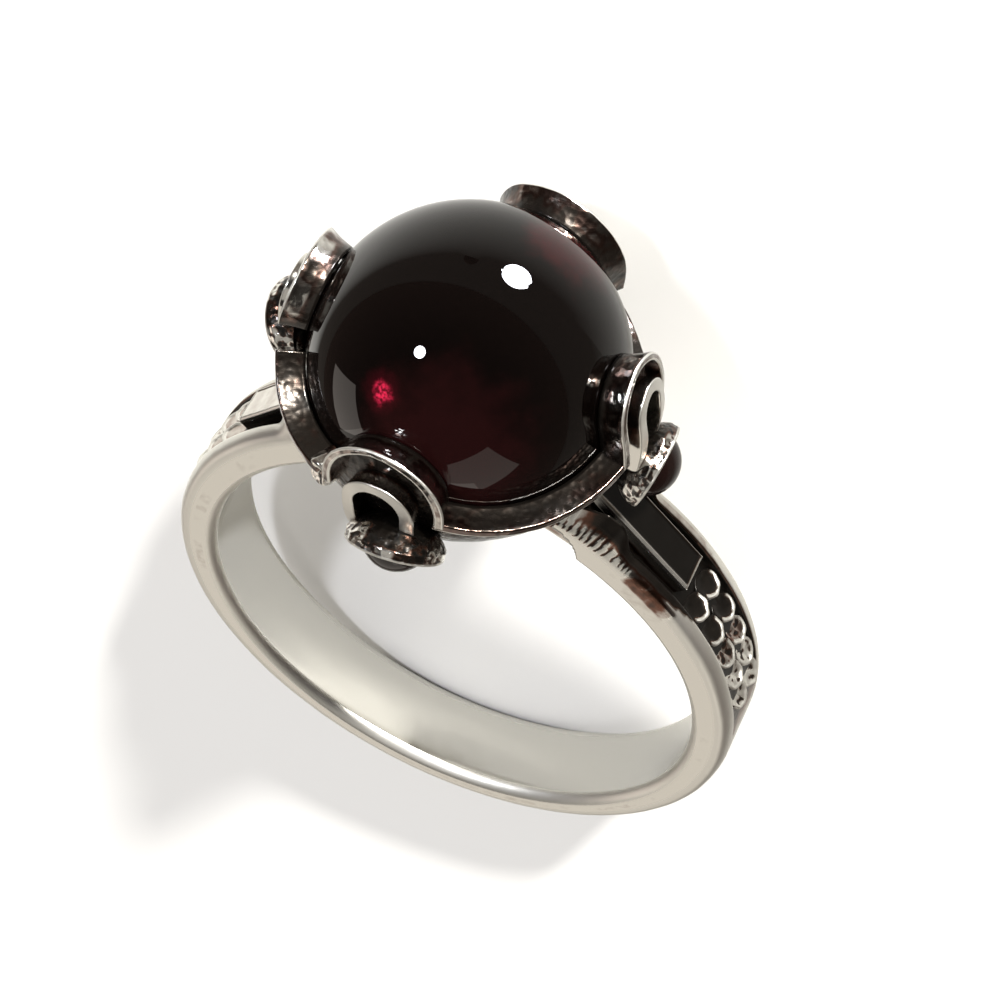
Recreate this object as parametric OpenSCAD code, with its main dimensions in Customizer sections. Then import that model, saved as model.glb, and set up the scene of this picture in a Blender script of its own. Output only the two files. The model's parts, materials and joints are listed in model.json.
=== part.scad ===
// Garnet ring: a cast silver shank and a round head that holds one large domed garnet,
// with four lobes round it, each with an arch, a horseshoe and a cup with a small garnet.
// It is drawn upright, with X across the finger, Y along the finger and Z towards the
// stone, and is laid on its side at the end, as it rests on a flat surface.

/* [Shank] */
// Diameter of the finger hole
bore_d = 18; // [16:0.5:21]
// Width of the shank along the finger
shank_w = 3.3; // [3:0.1:4]
// Thickness of the shank at the back of the finger
shank_t = 1.1; // [0.9:0.05:1.5]
// How far the outer circle is moved up, which thickens the shoulders
shoulder_rise = 0.3; // [0.2:0.05:0.5]
// Bevel where the hole meets the side faces
hole_bevel = 0.3; // [0.15:0.05:0.4]

/* [Shoulders] */
// Width of the plain rail along each edge
rail_w = 0.55; // [0.4:0.05:0.6]
// Width of the flat panel in the middle
panel_w = 1.4; // [1.1:0.1:1.5]
// Length of the flat panel that shows beside the head
panel_l = 3.9; // [3.4:0.1:4.4]
// Angle from the top of the hole at which the panel lies flat
panel_angle = 45.5; // [43:0.5:48]
// Height of the panel over the outer circle
panel_h = 0.24; // [0.15:0.01:0.35]
// Rows of scales below the panel
scale_rows = 5; // [3:1:5]
// Radius of a scale
scale_r = 0.52; // [0.4:0.02:0.55]

/* [Stones] */
// Diameter of the large garnet
stone_d = 10; // [9.4:0.1:10.4]
// Height of its widest place over its flat underside
stone_drop = 4; // [3.8:0.1:4.1]
// Diameter of a small garnet
accent_d = 2.06; // [1.8:0.02:2.2]
// How far a small garnet stands out of its cup
accent_h = 0.7; // [0.5:0.05:0.75]
// Gap between a stone and the silver
stone_gap = 0.05; // [0.03:0.01:0.08]

/* [Head] */
// Silver under the large garnet, from the hole to its flat underside
seat_t = 0.77; // [0.7:0.05:1.2]
// Wall of the bowl round the large garnet
bowl_t = 0.35; // [0.3:0.05:0.45]
// Width of the strip that stands out from the garnet
strip_w = 0.9; // [0.75:0.05:1.1]
// Thickness of the strip
strip_t = 0.32; // [0.28:0.02:0.4]
// Half the angle that the front arch spans, seen from the middle of the garnet
arch_half = 20; // [18:0.5:21]
// Half the angle that the front horseshoe spans
shoe_half = 11.5; // [11:0.5:12.5]
// Width of the horseshoe's face
shoe_t = 0.42; // [0.3:0.02:0.5]
// Outer diameter of a cup
cup_d = 3; // [2.8:0.1:3.2]
// Length of a cup's wall
cup_l = 0.95; // [0.8:0.05:1.2]

/* [Hidden] */
$fn = 96;

// Colours
silver = "silver";
garnet = "#3a0810";

// Shank, in the side view: the hole is centred on the origin
bore_r = bore_d / 2;
outer_r = bore_r + shank_t + shoulder_rise; // circle centred shoulder_rise over the hole's centre
edge_drop = [0.35, 0.14, 0.04, 0]; // how far the rounded outer edge lies below the circle
edge_in = [0, 0.1, 0.27, rail_w]; // and how far in from the side face

// Shoulders
channel_w = shank_w - 2 * rail_w;
root_fillet = 1.5; // concave curve from a rail up to the head
root_x = 5.72 / 13.77; // where the shoulder's root stands, as a share of the stone's height
scale_pitch = 6.3; // degrees from one row of scales to the next
scale_start = 7; // degrees from the panel's end to the middle of the first row
scale_lean = 14; // degrees that a scale's free edge is raised
scale_t = 0.5;
scoop_r = 1.45; // hollow in each side face under the head
scoop_x = 3.05;
scoop_z = bore_r - 1;
scoop_d = 0.5;

// Head, measured from the middle of the large garnet
stone_r = stone_d / 2;
stone_z = bore_r + seat_t + stone_drop;
pocket_r = stone_r + stone_gap;
strip_r = pocket_r + strip_w;
bowl_r = pocket_r + bowl_t;
bowl_low = 0.76; // how far the bowl's edge lies below the garnet's widest place
arch_thin = 0.09; // how much thinner the strip is at the top of an arch
shoe_out = 0.12; // how far the horseshoe's face stands out over the strip's edge
shoe_hook = 0.3; // how far the horseshoe's ends turn in
valley_sag = 0.45; // dip of the strip between two lobes
valley_end = 0.12; // how far a dip runs on behind an arch's foot
low_edge = -0.41; // height of the strip's lower edge at a foot of the front arch
side_edge = -0.3; // and of the right one
skin = 0.02; // step between round faces that lie close together
turned_dip = [-63, -27]; // where the dip to the left of the front lobe starts and ends
turned_edge = [0.75, -0.5]; // and the heights of its lower edge there
curl_at = -26; // small turn of the strip beside the front lobe
curl_r = 0.5;
curl_z = -0.5;

// The lobes were shaped by hand and differ: front, right, back, left
lobe_at = [-3, 90, 172, 270];
cup_at = [2, 91, 180, 270];
narrow = [1, 0.78, 1.15, 0.9]; // width as a share of the front lobe's
arch_up = [0.8, 11.5, 7, 12]; // degrees that the arch's middle lies over the garnet's widest place
foot_z = [-0.33, -0.2, -0.33, 1.2]; // where its legs end
shoe_up = [-1.5, 10.5, 3.5, 8];
shoe_leg = [1.85, 2.2, 1.2, 0.6]; // length of its straight legs
cup_up = [-1.93, -1.85, -2, -1]; // the middle of a cup's rim, from the garnet's middle
cup_out = [5.88, 6.25, 5.85, 5.85]; // and how far out it lies
cup_lean = [48, 18, 35, 35]; // degrees that a cup points down
cup_wide = [1.03, 0.93, 1, 1]; // its width as a share of a plain cup's
cup_round = [0.75, 0.26, 0.26, 0.26]; // how far over its rim the back's curve has its middle
accent_share = [1, 1, 0.65, 1]; // its garnet's height as a share of accent_h

// Cup, with a straight wall by its rim and a round back
cup_r = cup_d / 2;
cup_wall = 0.3;
cup_root = 0.35; // how far the back runs on into the bowl
accent_r = accent_d / 2;
accent_sunk = 0.45;

// Rest on the side: the upper edge of the back cup's rim and the far edge of the shank
// touch the surface
rim_y = cup_out[2] + cup_r * sin(cup_lean[2]);
rim_z = stone_z + cup_up[2] + cup_r * cos(cup_lean[2]);
edge_y = shank_w / 2;
edge_z = -(outer_r - shoulder_rise - edge_drop[0]);
lie = atan2(rim_y - edge_y, rim_z - edge_z);
lift = edge_y * cos(lie) - edge_z * sin(lie);
front_reach = stone_z * cos(lie) + stone_r;
back_reach = max([for (i = [0:3])
    (outer_r - shoulder_rise - edge_drop[i]) * cos(lie) + (shank_w / 2 - edge_in[i]) * sin(lie)]);

module lay_down()
    translate([0, (front_reach - back_reach) / 2, lift])
        rotate([-lie, 0, 0]) rotate([90, 180, 0]) children();

// A disc or cylinder along the finger
module across(r, w, x = 0, z = 0)
    translate([x, 0, z]) rotate([90, 0, 0]) cylinder(r = r, h = w, center = true);

// A frame on the garnet: X sideways, Y up and Z outward, at this angle from the front
module at_side(angle)
    translate([0, 0, stone_z]) rotate([90, 0, angle]) children();

module shank_blank()
    translate([0, 0, shoulder_rise]) rotate([90, 0, 0]) rotate_extrude()
        polygon(concat([[0, -shank_w / 2], [0, shank_w / 2]],
            [for (i = [0:3]) [outer_r - edge_drop[i], shank_w / 2 - edge_in[i]]],
            [for (i = [3:-1:0]) [outer_r - edge_drop[i], edge_in[i] - shank_w / 2]]));

// The shoulder rises to the head in a concave curve, and its edges are bevelled
module shoulder_root(side) {
    x = stone_z * root_x;
    dip = 0.05;
    reach = outer_r + root_fillet - dip;
    fx = x + root_fillet;
    fz = shoulder_rise + sqrt(reach * reach - fx * fx);
    bevel_out = 0.95;
    intersection() {
        mirror([side < 0 ? 1 : 0, 0, 0]) difference() {
            translate([x - 2.4, -shank_w / 2, fz - 2.2])
                cube([2.4 - x + fx * outer_r / reach, shank_w, 2.9]);
            across(root_fillet, shank_w + 1, fx, fz);
            translate([x, -shank_w, fz]) cube([2 * root_fillet, 2 * shank_w, 2]);
        }
        translate([0, 0, shoulder_rise]) rotate([90, 0, 0]) rotate_extrude()
            polygon([[0, -shank_w / 2 + 0.02], [outer_r - 0.1, -shank_w / 2 + 0.02],
                [outer_r + bevel_out, -channel_w / 2], [outer_r + bevel_out, channel_w / 2],
                [outer_r - 0.1, shank_w / 2 - 0.02], [0, shank_w / 2 - 0.02]]);
    }
}

// The sunk band between the rails, which runs out at the widest place of the shank
module channel()
    difference() {
        across(outer_r + 2.5, channel_w);
        across(outer_r, channel_w + 1, 0, -shoulder_rise);
    }

module panel(side) {
    top = outer_r + shoulder_rise * cos(panel_angle) + panel_h;
    hidden_l = 1;
    deep = 1.5;
    rotate([0, side * panel_angle, 0])
        translate([side > 0 ? 0.4 - panel_l - hidden_l : -0.4, -panel_w / 2, top - deep])
            cube([panel_l + hidden_l, panel_w, deep]);
}

// Two scales a row, each lifted at the edge away from the head
module scales(side)
    for (i = [0:scale_rows - 1]) {
        angle = panel_angle + scale_start + 1.5 + i * scale_pitch;
        floor_r = outer_r - shoulder_rise * cos(angle);
        for (y = [-1, 1])
            rotate([0, side * angle, 0])
                translate([0, y * (scale_r - 0.02), floor_r - 0.08 - 0.02 * i])
                    rotate([0, -side * scale_lean, 0])
                        cylinder(r = scale_r, h = scale_t, center = true);
    }

module bowl() {
    low = stone_drop + 0.5;
    intersection() {
        translate([0, 0, stone_z]) sphere(bowl_r);
        translate([-bowl_r, -bowl_r, stone_z - low]) cube([2 * bowl_r, 2 * bowl_r, low - bowl_low]);
    }
}

// An arched wedge with its point at the middle of the garnet: half a cone with straight legs
module wedge(half, leg) {
    long = 2 * strip_r;
    wide = long * tan(half);
    intersection() {
        cylinder(r1 = 0, r2 = wide, h = long);
        translate([-long, 0, 0]) cube([2 * long, long, long]);
    }
    rotate([90, 0, 0]) linear_extrude(leg) polygon([[0, 0], [wide, long], [-wide, long]]);
}

// A band round the wedge, so its walls run straight out from the garnet
module hoop(half, leg, t, thin)
    difference() {
        wedge(half, leg);
        translate([0, thin, t / sin(half)]) wedge(half, leg + 1);
    }

module arch(i) {
    middle = strip_r * sin(arch_up[i]);
    intersection() {
        rotate([-arch_up[i], 0, 0]) hoop(arch_half * narrow[i], middle - foot_z[i], strip_t, arch_thin);
        sphere(strip_r);
    }
    // the blackened plate behind it
    intersection() {
        rotate([-arch_up[i], 0, 0]) wedge(arch_half * narrow[i] - 1, middle + bowl_low + 0.2);
        sphere(bowl_r + 2 * skin);
    }
}

module horseshoe(i) {
    leg = shoe_leg[i];
    half = shoe_half * narrow[i];
    intersection() {
        rotate([-shoe_up[i], 0, 0]) {
            hoop(half, leg, shoe_t, 0);
            for (side = [-1, 1])
                translate([side * (strip_r * sin(half) - shoe_t) - shoe_hook / 2, -leg, 0])
                    cube([shoe_hook, 0.34, strip_r + 1]);
        }
        sphere(strip_r + shoe_out);
    }
}

module in_cup(i)
    at_side(cup_at[i]) translate([0, cup_up[i], cup_out[i]]) rotate([cup_lean[i], 0, 0]) children();

module cup(i) {
    r = cup_r * cup_wide[i];
    in_cup(i) intersection() {
        translate([0, 0, -cup_l - cup_root]) cylinder(r = r, h = cup_l + cup_root);
        translate([0, 0, cup_round[i]]) sphere(norm([r, cup_round[i] + cup_wall]));
    }
}

module accent_seat(i) in_cup(i)
    translate([0, 0, -accent_sunk - stone_gap]) cylinder(r = accent_r + stone_gap, h = 2);

// The angle at which an arch's foot stands
function foot(i, side) = lobe_at[i] + side * arch_half * narrow[i];

// The strip dips between two lobes; z1 and z2 are the heights of its lower edge at its ends
module valley(from, to, z1, z2, reach) {
    half = reach * sin((to - from) / 2);
    r = (half * half + valley_sag * valley_sag) / (2 * valley_sag);
    at_side((from + to) / 2) intersection() {
        translate([0, (z1 + z2) / 2, 0]) rotate([0, 0, atan2(z2 - z1, 2 * half)]) intersection() {
            translate([0, r - valley_sag, 0]) difference() {
                cylinder(r = r, h = strip_r);
                cylinder(r = r - strip_t, h = 3 * strip_r, center = true);
            }
            translate([-half - valley_end, -1, 0]) cube([2 * (half + valley_end), 2, 2 * strip_r]);
        }
        sphere(reach);
    }
}

module curl()
    at_side(curl_at) intersection() {
        translate([0, curl_z, 0]) cylinder(r = curl_r, h = strip_r);
        sphere(strip_r - 3 * skin);
    }

module pocket()
    intersection() {
        translate([0, 0, stone_z]) sphere(pocket_r);
        translate([-stone_d, -stone_d, stone_z - stone_drop - stone_gap])
            cube([2 * stone_d, 2 * stone_d, 3 * stone_d]);
    }

// The hollow in a side face under the head, between the two shoulders
module scoop(side)
    for (x = [-scoop_x, scoop_x])
        translate([x, side * (shank_w / 2 - scoop_d), scoop_z]) rotate([-side * 90, 0, 0])
            cylinder(r = scoop_r, h = scoop_d + 1);

module hole() {
    across(bore_r, 2 * shank_w);
    for (side = [-1, 1])
        translate([0, side * (shank_w / 2 - hole_bevel), 0]) rotate([-side * 90, 0, 0])
            cylinder(r1 = bore_r, r2 = bore_r + 2 * hole_bevel, h = 2 * hole_bevel);
}

module ring_body()
    color(silver) lay_down() difference() {
        union() {
            difference() {
                union() {
                    shank_blank();
                    for (side = [-1, 1]) shoulder_root(side);
                }
                channel();
                for (side = [-1, 1]) scoop(side);
            }
            for (side = [-1, 1]) {
                panel(side);
                scales(side);
            }
            bowl();
            for (i = [0:3]) {
                at_side(lobe_at[i]) {
                    arch(i);
                    horseshoe(i);
                }
                cup(i);
            }
            valley(foot(0, 1), foot(1, -1), low_edge, side_edge, strip_r - skin);
            // pressed against the garnet at the back
            valley(foot(1, 1), foot(2, -1), side_edge, low_edge, bowl_r + 4 * skin);
            valley(foot(2, 1), foot(3, -1), low_edge, low_edge, bowl_r + 4 * skin);
            valley(turned_dip[0], turned_dip[1], turned_edge[0], turned_edge[1], strip_r - skin);
            curl();
        }
        pocket();
        hole();
        for (i = [0:3]) accent_seat(i);
    }

module large_garnet()
    color(garnet) lay_down() intersection() {
        translate([0, 0, stone_z]) sphere(stone_r);
        translate([-stone_d, -stone_d, stone_z - stone_drop]) cube([2 * stone_d, 2 * stone_d, 2 * stone_d]);
    }

module small_garnet(i) {
    h = accent_h * accent_share[i];
    dome_r = (accent_r * accent_r + h * h) / (2 * h);
    color(garnet) lay_down() in_cup(i) intersection() {
        translate([0, 0, h - dome_r]) sphere(dome_r);
        translate([0, 0, -accent_sunk]) cylinder(r = accent_r, h = 2);
    }
}

ring_body();
large_garnet();
small_garnet(0);  // front_garnet
small_garnet(1);  // right_garnet
small_garnet(2);  // back_garnet
small_garnet(3);  // left_garnet
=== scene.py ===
import json
import math

import bpy
import numpy as np
from mathutils import Matrix, Vector, noise


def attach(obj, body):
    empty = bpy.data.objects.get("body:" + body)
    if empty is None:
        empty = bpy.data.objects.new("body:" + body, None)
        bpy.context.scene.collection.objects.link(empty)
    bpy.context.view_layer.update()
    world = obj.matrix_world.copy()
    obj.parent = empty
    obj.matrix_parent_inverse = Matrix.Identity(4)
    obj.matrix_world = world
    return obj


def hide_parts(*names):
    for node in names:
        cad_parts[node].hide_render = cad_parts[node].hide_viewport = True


# The garnet ring as it lies on its side. Shapes are worked out in millimetres on the upright
# ring (u across the finger, v along it, w towards the stone) and then laid down with it.
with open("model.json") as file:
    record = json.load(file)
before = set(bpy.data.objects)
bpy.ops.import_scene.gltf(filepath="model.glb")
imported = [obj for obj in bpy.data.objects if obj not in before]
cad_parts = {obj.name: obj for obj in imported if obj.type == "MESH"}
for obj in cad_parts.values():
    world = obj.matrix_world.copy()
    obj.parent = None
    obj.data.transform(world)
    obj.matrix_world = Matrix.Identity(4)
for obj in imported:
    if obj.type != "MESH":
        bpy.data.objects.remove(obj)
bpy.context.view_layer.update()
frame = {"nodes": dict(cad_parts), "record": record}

bore = next(m for m in frame["record"]["mounts"] if m["name"] == "finger_bore")
boreMiddle = np.array(bore["pos_m"])
uAxis = np.array([-1.0, 0.0, 0.0])
vAxis = -np.array(bore["axis"])
layDown = np.array([uAxis, vAxis, np.cross(uAxis, vAxis)])
mm = 0.001

ring = {
    "boreRadius": 9.0,
    "width": 3.3,
    "outerRadius": 10.4,
    "rise": 0.3,  # the outer circle's middle stands this much over the hole's
    "railWidth": 0.55,
}
stone = {"radius": 5.0, "height": 13.77}  # the height of its middle over the hole's


def laid(points):
    # from the upright ring in millimetres to the lying ring in metres
    return boreMiddle + (np.asarray(points, float) * mm) @ layDown


def onHead(points):
    # from places round the large garnet's middle to places on the upright ring
    return np.asarray(points) + np.array([0, 0, stone["height"]])


def smooth(x):
    x = np.clip(x, 0, 1)
    return x * x * (3 - 2 * x)


def within(x, low, high, softLow, softHigh):
    # 1 between two values and 0 outside them, with a soft step inside each
    return smooth((x - low) / softLow) * smooth((high - x) / softHigh)


def bumps(points, size, seed=0.0):
    # a soft random value for each point, from -1 to 1, with lumps about this many millimetres across
    flat = np.asarray(points, float).reshape(-1, 3) / size + seed
    return np.array([noise.noise(Vector(p)) for p in flat]).reshape(np.shape(points)[:-1])


# looks

def colour(text):
    # an sRGB hex colour turned to linear
    parts = [int(text[i:i + 2], 16) / 255 for i in (1, 3, 5)]
    return [c / 12.92 if c <= 0.04045 else ((c + 0.055) / 1.055) ** 2.4 for c in parts] + [1.0]


def add(tree, kind, settings=None, **links):
    # adds a node and sets its properties and sockets. A link is named after its socket, or i and the
    # socket's number, and comes from another node's socket, or from a node's first output.
    node = tree.nodes.new("ShaderNode" + kind)
    for key, value in (settings or {}).items():
        if isinstance(key, str) and hasattr(node, key):
            setattr(node, key, value)
        else:
            node.inputs[key].default_value = value
    for key, source in links.items():
        place = int(key[1:]) if key[0] == "i" and key[1:].isdigit() else key.replace("_", " ")
        output = source.outputs[0] if hasattr(source, "outputs") else source
        tree.links.new(output, node.inputs[place])
    return node


def newMaterial(name):
    material = bpy.data.materials.new(name)
    material.use_nodes = True
    material.node_tree.nodes.clear()
    return material, material.node_tree


# Cast sterling silver, polished by hand on a wheel: a bright mirror with soft waves and fine
# scratches, and a skin of sulphide left in the recesses, brown where thin and black where thick
silverLook = {
    "polished": "#edebe4",
    "thin": "#7d5a4c",  # reddish brown
    "grey": "#38322d",
    "thick": "#120f0c",
    "roughness": 0.1,
    "thickRoughness": 0.32,
    "satinRoughness": 0.62,
    "waveMm": 1.3,
    "scratchMm": 0.4,  # a real one is finer, and would not show
    "scratchLong": 14.0,  # how much longer a scratch is than it is wide
    "patchMm": 0.45,  # patches of thin sulphide
    "crevice": 0.3,  # mm that the black reaches out of a corner
}


def makeSilver(name, look, dents=0.0, dentMm=0.3):
    # the vertex value "black" says how thick the sulphide is, in a few places painted shade too, and below 0
    # how satin the bare metal is
    material, tree = newMaterial(name)
    place = add(tree, "TexCoord").outputs["Object"]
    wave = add(tree, "TexNoise", {"Scale": 1 / (look["waveMm"] * mm), "Detail": 2.0, "Roughness": 0.5},
               Vector=place)
    patch = add(tree, "TexNoise", {"Scale": 1 / (look["patchMm"] * mm), "Detail": 3.0, "Roughness": 0.55},
                Vector=place)
    drawn = add(tree, "Mapping", {"Scale": (1.0, look["scratchLong"], 1.0), "Rotation": (0.5, 0.3, 0.8)},
                Vector=place)
    scratch = add(tree, "TexNoise", {"Scale": 1 / (look["scratchMm"] * mm), "Detail": 3.0, "Roughness": 0.7},
                  Vector=drawn)
    black = add(tree, "Attribute", {"attribute_name": "black"}).outputs["Fac"]
    corner = add(tree, "AmbientOcclusion", {"samples": 6, "Distance": look["crevice"] * mm}).outputs["AO"]
    crevice = add(tree, "MapRange", {"From Min": 0.55, "From Max": 0.15, "To Max": 0.9}, Value=corner)
    # thin sulphide is patchy, bare metal and thick sulphide are not
    spread = add(tree, "MapRange", {"From Min": 0.36, "From Max": 0.64, "To Min": -0.4, "To Max": 0.4},
                 Value=patch)
    bare = add(tree, "Math", {"operation": "SUBTRACT", 0: 1.0}, i1=black)
    halfway = add(tree, "Math", {"operation": "MULTIPLY", "use_clamp": True}, i0=black, i1=bare)
    patchy = add(tree, "Math", {"operation": "MULTIPLY_ADD"}, i0=halfway, i1=spread, i2=black)
    mask = add(tree, "Math", {"operation": "MAXIMUM", "use_clamp": True}, i0=patchy, i1=crevice)
    ramp = add(tree, "ValToRGB", i0=mask)
    stops = ramp.color_ramp.elements
    stops[0].position = 0.06
    stops[0].color = colour(look["polished"])
    stops[1].position = 0.95
    stops[1].color = colour(look["thick"])
    stops.new(0.34).color = colour(look["thin"])
    stops.new(0.62).color = colour(look["grey"])
    worn = add(tree, "MapRange", {"From Min": 0.3, "From Max": 0.7, "To Min": look["roughness"] * 0.6,
                                  "To Max": look["roughness"] * 1.6}, Value=scratch)
    rough = add(tree, "Mix", {"data_type": "FLOAT", 3: look["thickRoughness"]}, Factor=mask, i2=worn)
    satin = add(tree, "MapRange", {"From Max": -1.0}, Value=black)
    rough = add(tree, "Mix", {"data_type": "FLOAT", 3: look["satinRoughness"]}, Factor=satin, i2=rough)
    height = add(tree, "Math", {"operation": "MULTIPLY_ADD", 1: 0.05}, i0=scratch, i2=wave)
    if dents:
        dent = add(tree, "TexVoronoi", {"feature": "SMOOTH_F1", "Scale": 1 / (dentMm * mm),
                                        "Smoothness": 0.4}, Vector=place)
        height = add(tree, "Math", {"operation": "MULTIPLY_ADD", 1: dents}, i0=dent, i2=height)
    bump = add(tree, "Bump", {"Strength": 0.14 + 0.3 * dents, "Distance": 0.09 * (1 + dents) * mm},
               Height=height)
    # a thick skin of sulphide scatters light as soot does, so the metal's shine goes with it
    shine = add(tree, "MapRange", {"From Min": 0.5, "From Max": 0.95, "To Min": 1.0, "To Max": 0.7},
                Value=mask)
    # dented metal keeps a film of polish, which gives it sharp glints
    shader = add(tree, "BsdfPrincipled", {"Coat Weight": 0.5 if dents else 0.0, "Coat Roughness": 0.06},
                 Base_Color=ramp, Metallic=shine, Roughness=rough, Normal=bump)
    add(tree, "OutputMaterial", Surface=shader)
    return material


# Garnet, ground and polished to a glassy dome: near black, with a painted wine red glow low down where
# light would get through, a painted red glow near the top, and one painted red glint that glows. Places are
# in mm from the stone's middle, on the upright ring.
garnetLook = {
    "small": "#110807",  # the small stones show no depth and get no painted glows
    "dark": "#0c0706",
    "roughness": 0.015,
    "ior": 1.77,
    "shine": 0.25,
    # painted light in the large stone: a wine red glow, an ember red glow, and a glowing glint with its halo
    "wine": "#280f0f",
    "wineAt": (1.2, -4.5, 1.6),
    "wineReach": 3.4,
    "ember": "#3c1215",  # painted glow where light comes back out near the top
    "emberAt": (2.0, 2.5, 3.8),
    "emberReach": 2.0,
    "paintedGlint": "#d8264a",
    "paintedGlintAt": (-1.08, -3.98, 2.83),
    "paintedGlintReach": 0.42,
    "haloReach": 0.75,  # a dim painted red glow round the painted glint
    "haloShare": 0.04,
    "cloudMm": 1.1,  # how coarse the outlines of these patches are
    "grainMm": 0.16,  # and the broken inside of the painted glint
}


def makeGarnet(name, look, deep):
    material, tree = newMaterial(name)
    shader = add(tree, "BsdfPrincipled", {"Base Color": colour(look["small"]), "Roughness": look["roughness"],
                                          "IOR": look["ior"], "Specular IOR Level": look["shine"]})
    add(tree, "OutputMaterial", Surface=shader)
    # the small stones get none of the painted glows below
    if not deep:
        return material
    place = add(tree, "TexCoord").outputs["Object"]
    cloud = add(tree, "TexNoise", {"Scale": 1 / (look["cloudMm"] * mm), "Detail": 4.0, "Roughness": 0.6},
                Vector=place)
    grain = add(tree, "TexNoise", {"Scale": 1 / (look["grainMm"] * mm), "Detail": 3.0, "Roughness": 0.7},
                Vector=place)

    def nearness(at, reach, ragged):
        # 1 at a place in the stone and 0 at its reach, with a ragged outline
        away = add(tree, "VectorMath", {"operation": "DISTANCE", 1: tuple(laid(onHead(at)))}, i0=place)
        far = add(tree, "Math", {"operation": "MULTIPLY", 1: 1 / (reach * mm)}, i0=away.outputs["Value"])
        broken = add(tree, "Math", {"operation": "MULTIPLY_ADD", 1: ragged}, i0=cloud, i2=far)
        return add(tree, "MapRange", {"interpolation_type": "SMOOTHSTEP", "From Min": 1.0 + ragged * 0.5,
                                      "From Max": 0.35 + ragged * 0.5}, Value=broken)

    # the wine and ember glows are painted into the base colour; the glint and its halo glow though there is
    # no lamp in the stone
    wine = nearness(look["wineAt"], look["wineReach"], 0.9)
    ember = nearness(look["emberAt"], look["emberReach"], 1.4)
    paintedGlint = nearness(look["paintedGlintAt"], look["paintedGlintReach"], 2.4)
    halo = nearness(look["paintedGlintAt"], look["haloReach"], 1.2)
    base = add(tree, "Mix", {"data_type": "RGBA", 6: colour(look["dark"]), 7: colour(look["wine"])},
               Factor=wine)
    base = add(tree, "Mix", {"data_type": "RGBA", 7: colour(look["ember"])}, Factor=ember, i6=base.outputs[2])
    broken = add(tree, "MapRange", {"From Min": 0.4, "From Max": 0.6, "To Min": 0.12, "To Max": 1.3},
                 Value=grain)
    bright = add(tree, "Math", {"operation": "MULTIPLY"}, i0=paintedGlint, i1=broken)
    glow = add(tree, "Math", {"operation": "MULTIPLY_ADD", 1: look["haloShare"]}, i0=halo, i2=bright)
    shader.inputs["Emission Color"].default_value = colour(look["paintedGlint"])
    tree.links.new(base.outputs[2], shader.inputs["Base Color"])
    tree.links.new(glow.outputs[0], shader.inputs["Emission Strength"])
    return material


silver = makeSilver("silver_cast_polished", silverLook)
# struck all over with a small punch: deep dents close together, each with a glint
punchedSilver = makeSilver("silver_cast_punched", dict(silverLook, roughness=0.14), dents=1.0)
# planished with a hammer: softer dents, and a duller brown where the sulphide is thin
hammeredSilver = makeSilver("silver_cast_hammered", dict(silverLook, thin="#6c574f"), dents=0.5, dentMm=0.24)
garnet = makeGarnet("garnet_polished_dome", garnetLook, True)
smallGarnet = makeGarnet("garnet_polished_small", garnetLook, False)
print("materials made")


# mesh building

def makePiece(name, points, quads, material, black, triangles=()):
    mesh = bpy.data.meshes.new(name)
    faces = quads.tolist() + [list(map(int, t)) for t in triangles]
    mesh.from_pydata(laid(points.reshape(-1, 3)).tolist(), [], faces)
    mesh.validate()
    mesh.polygons.foreach_set("use_smooth", [True] * len(mesh.polygons))
    layer = mesh.attributes.new("black", "FLOAT", "POINT")
    layer.data.foreach_set("value", np.clip(black, -1, 1).ravel())
    mesh.materials.append(material)
    mesh.update()
    piece = bpy.data.objects.new(name, mesh)
    bpy.context.scene.collection.objects.link(piece)
    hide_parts("ring_body")
    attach(piece, "root")


def gridQuads(rows, columns, roundRows, roundColumns, start=0):
    # faces between neighbouring points of a grid, which closes on itself where it is round
    i = np.arange(rows if roundRows else rows - 1)
    j = np.arange(columns if roundColumns else columns - 1)
    i, j = np.meshgrid(i, j, indexing="ij")
    nextI = (i + 1) % rows
    nextJ = (j + 1) % columns
    quads = np.stack([i * columns + j, nextI * columns + j, nextI * columns + nextJ, i * columns + nextJ], -1)
    return quads.reshape(-1, 4) + start


def closedGrid(points, roundRows):
    # a tube of points[row, column]: columns close, and rows close too or are capped at both ends
    rows, columns = points.shape[:2]
    quads = gridQuads(rows, columns, roundRows, True)
    flat = points.reshape(-1, 3)
    triangles = []
    if not roundRows:
        flat = np.vstack([flat, points[0].mean(0), points[-1].mean(0)])
        last = (rows - 1) * columns
        for j in range(columns):
            k = (j + 1) % columns
            triangles.append((rows * columns, j, k))
            triangles.append((rows * columns + 1, last + k, last + j))
    # turned outward if its volume comes out negative
    a, b, c, d = (flat[quads[:, k]] for k in range(4))
    volume = (a * np.cross(b, c)).sum() + (a * np.cross(c, d)).sum()
    if volume < 0:
        quads = quads[:, ::-1]
        triangles = [t[::-1] for t in triangles]
    return flat, quads, triangles


def spun(profile, step, start=0):
    # a profile of (radius, height) turned round its axis: the radii, the heights and the points
    around = np.radians(np.arange(0, 360, step) + start)
    r, z = np.array(profile).T[..., None]
    return r, z, np.stack([r * np.cos(around), r * np.sin(around), z * np.ones_like(around)], -1)


# shank

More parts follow.
